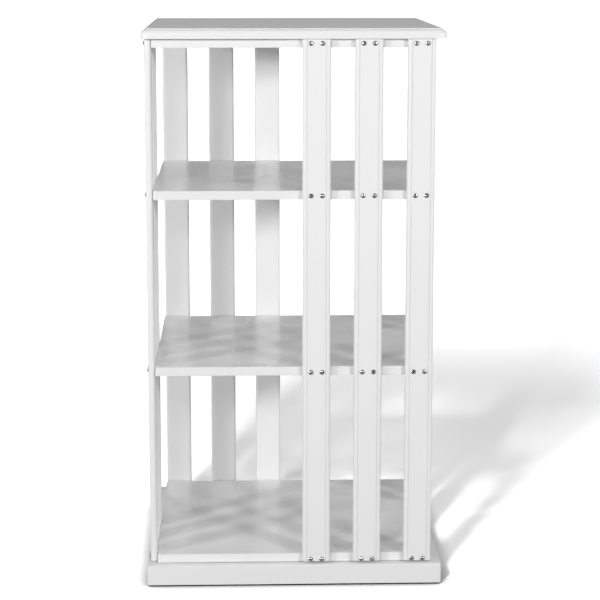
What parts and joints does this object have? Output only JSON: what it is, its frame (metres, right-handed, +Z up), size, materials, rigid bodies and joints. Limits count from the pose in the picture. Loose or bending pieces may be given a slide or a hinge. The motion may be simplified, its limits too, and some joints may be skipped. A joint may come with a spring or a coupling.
{
  "type": "rotating display rack",
  "caption": "Square shelf tower with slatted sides and open halves that turns on a ball-bearing ring in a low plinth.",
  "frame": {"origin": "on the floor, at the middle of the square outline, on the turning axis", "axes": "+Z up, -Y the side seen first (its slats on the +X half), +X to its right"},
  "size_m": [0.535, 0.535, 1.0065],
  "materials": {
    "base_paint": "satin white lacquer",
    "slat_paint": "satin white lacquer",
    "shelf_paint": "semi-gloss white lacquer",
    "top_paint": "semi-gloss white lacquer",
    "raw_ply": "bare plywood",
    "raw_wood": "bare softwood",
    "zinc": "zinc plated",
    "nickel": "bright nickel plate",
    "ring_aluminium": "satin, as pressed",
    "cage_plastic": "matte",
    "ball_steel": "polished",
    "foot_plastic": "matte"
  },
  "bodies": {
    "base": {"base_rail_front": "base_paint", "base_rail_right": "base_paint", "base_rail_back": "base_paint", "base_rail_left": "base_paint", "base_panel": "raw_ply", "base_corner_blocks": "raw_wood", "base_block_screws": "zinc", "base_panel_screws": "zinc", "foot_pads": "foot_plastic", "foot_nails": "zinc", "turntable_lower_ring": "ring_aluminium", "turntable_lower_screws": "zinc"},
    "ball_cage": {"ball_cage_ring": "cage_plastic", "bearing_balls": "ball_steel"},
    "rack": {"turntable_upper_ring": "ring_aluminium", "turntable_upper_screws": "zinc", "bottom_plate": "shelf_paint", "middle_shelf": "shelf_paint", "upper_shelf": "shelf_paint", "top_plate": "shelf_paint", "top_board": "top_paint", "top_board_screws": "zinc", "slat_front_1": "slat_paint", "slat_front_2": "slat_paint", "slat_front_3": "slat_paint", "slat_right_1": "slat_paint", "slat_right_2": "slat_paint", "slat_right_3": "slat_paint", "slat_back_1": "slat_paint", "slat_back_2": "slat_paint", "slat_back_3": "slat_paint", "slat_left_1": "slat_paint", "slat_left_2": "slat_paint", "slat_left_3": "slat_paint", "slat_screws_front": "nickel", "slat_screws_right": "nickel", "slat_screws_back": "nickel", "slat_screws_left": "nickel"}
  },
  "joints": [
    {"name": "rack_spin", "type": "hinge", "parent": "base", "child": "rack", "pos_m": [0, 0, 0.034], "axis": [0, 0, 1], "continuous": true},
    {"name": "cage_spin", "type": "hinge", "parent": "base", "child": "ball_cage", "pos_m": [0, 0, 0.034], "axis": [0, 0, 1], "continuous": true}
  ],
  "couplings": [
    {"joint": "cage_spin", "follows": "rack_spin", "ratio": 0.5}
  ]
}
